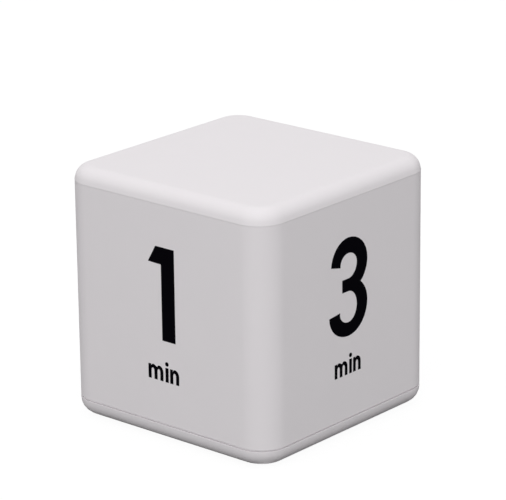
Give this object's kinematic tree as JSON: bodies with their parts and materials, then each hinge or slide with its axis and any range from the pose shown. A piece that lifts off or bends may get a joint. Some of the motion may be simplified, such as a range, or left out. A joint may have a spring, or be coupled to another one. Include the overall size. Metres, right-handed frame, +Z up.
{
  "type": "cube timer",
  "caption": "Moulded cube timer with minute figures on its sides and a display, switch and battery door underneath.",
  "frame": {"origin": "centre of the base, the underside that the cube stands on in the picture", "axes": "+Z up through the bare top face, +X out of the face with figure 3, -Y out of the face with figure 1"},
  "size_m": [0.062, 0.062, 0.062],
  "materials": {
    "white_plastic": "satin moulded",
    "black_ink": "smooth print",
    "black_plastic": "fine matt",
    "grey_plastic": "matt",
    "clear_plastic": "polished clear",
    "display_glass": "polished",
    "circuit_board": "solder mask",
    "steel": "nickel plated",
    "brass": "polished",
    "copper_wire": "enamelled winding",
    "rubber": "soft moulded",
    "cell_jacket": "printed sleeve",
    "red_lead": "soft insulation"
  },
  "bodies": {
    "casing": {"housing": "white_plastic", "bottom_cover": "white_plastic", "numeral_1": "black_ink", "numeral_3": "black_ink", "numeral_5": "black_ink", "numeral_10_one": "black_ink", "numeral_10_zero": "black_ink", "cover_screw_1": "steel", "cover_screw_2": "steel", "cover_screw_3": "steel", "cover_screw_4": "steel", "board_screw_1": "steel", "board_screw_2": "steel", "board_screw_3": "steel", "board_screw_4": "steel", "lcd_lens": "clear_plastic", "lcd_glass": "display_glass", "lcd_frame": "black_plastic", "zebra_strip": "rubber", "main_board": "circuit_board", "controller_blob": "black_plastic", "crystal": "steel", "capacitor": "black_plastic", "driver_transistor": "black_plastic", "switch_case": "steel", "tilt_can_a": "steel", "tilt_base_a": "black_plastic", "tilt_can_b": "steel", "tilt_base_b": "black_plastic", "tilt_can_c": "steel", "tilt_base_c": "black_plastic", "buzzer_case": "black_plastic", "buzzer_base": "grey_plastic", "buzzer_magnet": "grey_plastic", "buzzer_coil": "copper_wire", "buzzer_diaphragm": "brass", "cell_front": "cell_jacket", "cell_back": "cell_jacket", "bridge_plate": "steel", "bridge_spring": "steel", "negative_plate": "steel", "negative_spring": "steel", "positive_plate": "steel", "red_lead": "red_lead", "black_lead": "black_plastic"},
    "battery_door": {"battery_door": "white_plastic"},
    "power_slider": {"power_knob": "black_plastic", "switch_lever": "black_plastic"},
    "ball_a": {"tilt_ball_a": "brass"},
    "ball_b": {"tilt_ball_b": "brass"},
    "ball_c": {"tilt_ball_c": "brass"}
  },
  "joints": [
    {"name": "battery_door_slide", "type": "slide", "parent": "casing", "child": "battery_door", "axis": [-1, 0, 0], "range_m": [0, 0.05]},
    {"name": "power_switch_slide", "type": "slide", "parent": "casing", "child": "power_slider", "axis": [0, 1, 0], "range_m": [0, 0.003]},
    {"name": "tilt_ball_a_roll", "type": "slide", "parent": "casing", "child": "ball_a", "axis": [0.7071, 0.7071, 0], "range_m": [0, 0.00305]},
    {"name": "tilt_ball_b_roll", "type": "slide", "parent": "casing", "child": "ball_b", "axis": [0.7071, -0.7071, 0], "range_m": [0, 0.00305]},
    {"name": "tilt_ball_c_roll", "type": "slide", "parent": "casing", "child": "ball_c", "axis": [0, 0, 1], "range_m": [0, 0.00305]}
  ]
}
